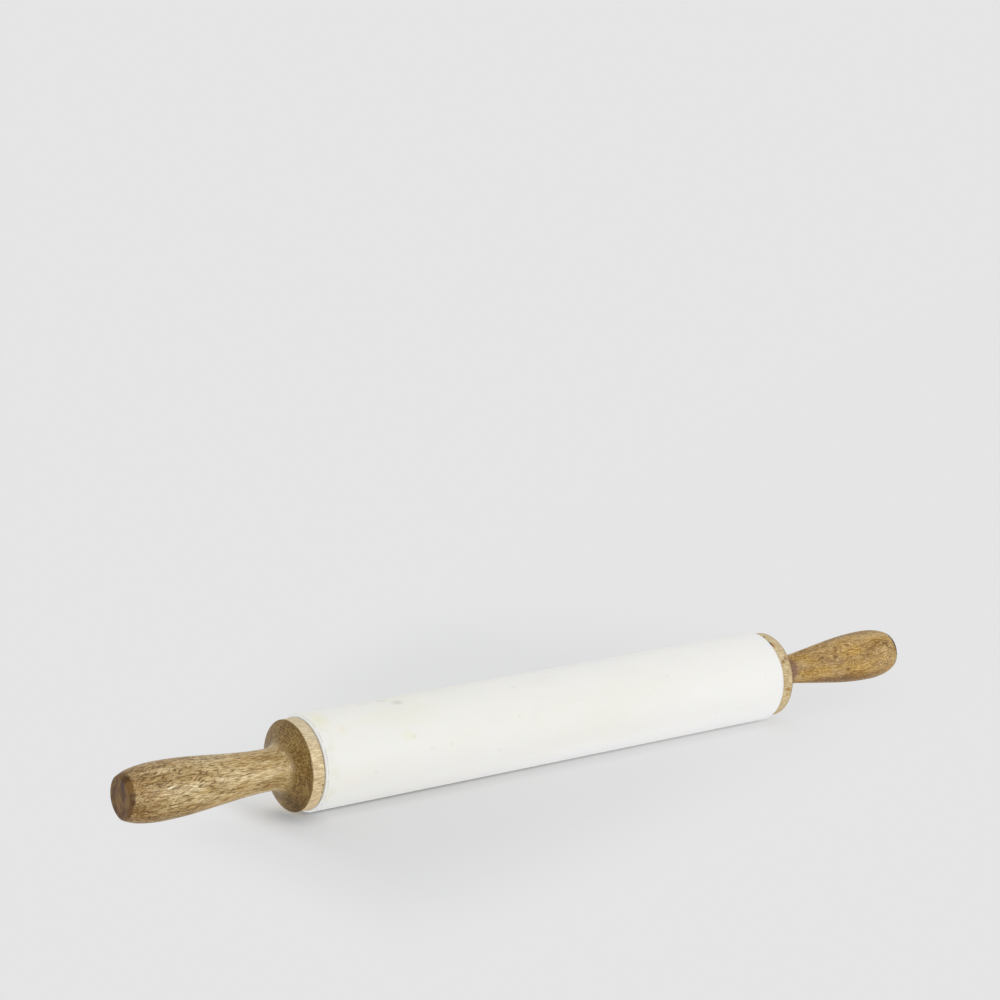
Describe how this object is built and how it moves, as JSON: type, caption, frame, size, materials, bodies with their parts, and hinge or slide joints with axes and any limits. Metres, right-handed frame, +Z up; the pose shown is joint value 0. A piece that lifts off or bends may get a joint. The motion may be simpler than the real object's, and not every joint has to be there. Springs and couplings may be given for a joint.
{
  "type": "rolling pin",
  "caption": "Rolling pin with a white marble barrel that turns on a steel axle between two turned wooden handles.",
  "frame": {"origin": "middle of the barrel, on its axis", "axes": "+X along the axle towards the handle with the thinner neck, +Z up, the barrel lying on a table"},
  "size_m": [0.5092, 0.05, 0.05],
  "materials": {
    "marble": "honed white marble",
    "wood_left": "oiled, pale sanded rim",
    "wood_right": "oiled, pale sanded rim",
    "steel": "ground rod",
    "plated_steel": "zinc plated",
    "nylon": "natural nylon",
    "brass": "turned"
  },
  "bodies": {
    "barrel": {"barrel": "marble", "bush_left": "nylon", "bush_right": "nylon"},
    "handles": {"axle": "steel", "handle_left": "wood_left", "handle_right": "wood_right", "insert_left": "brass", "insert_right": "brass", "locknut_left": "plated_steel", "locknut_right": "plated_steel", "washer_left": "plated_steel", "washer_right": "plated_steel"}
  },
  "joints": [
    {"name": "barrel_turn", "type": "hinge", "parent": "barrel", "child": "handles", "pos_m": [0, 0, 0], "axis": [1, 0, 0], "continuous": true}
  ]
}
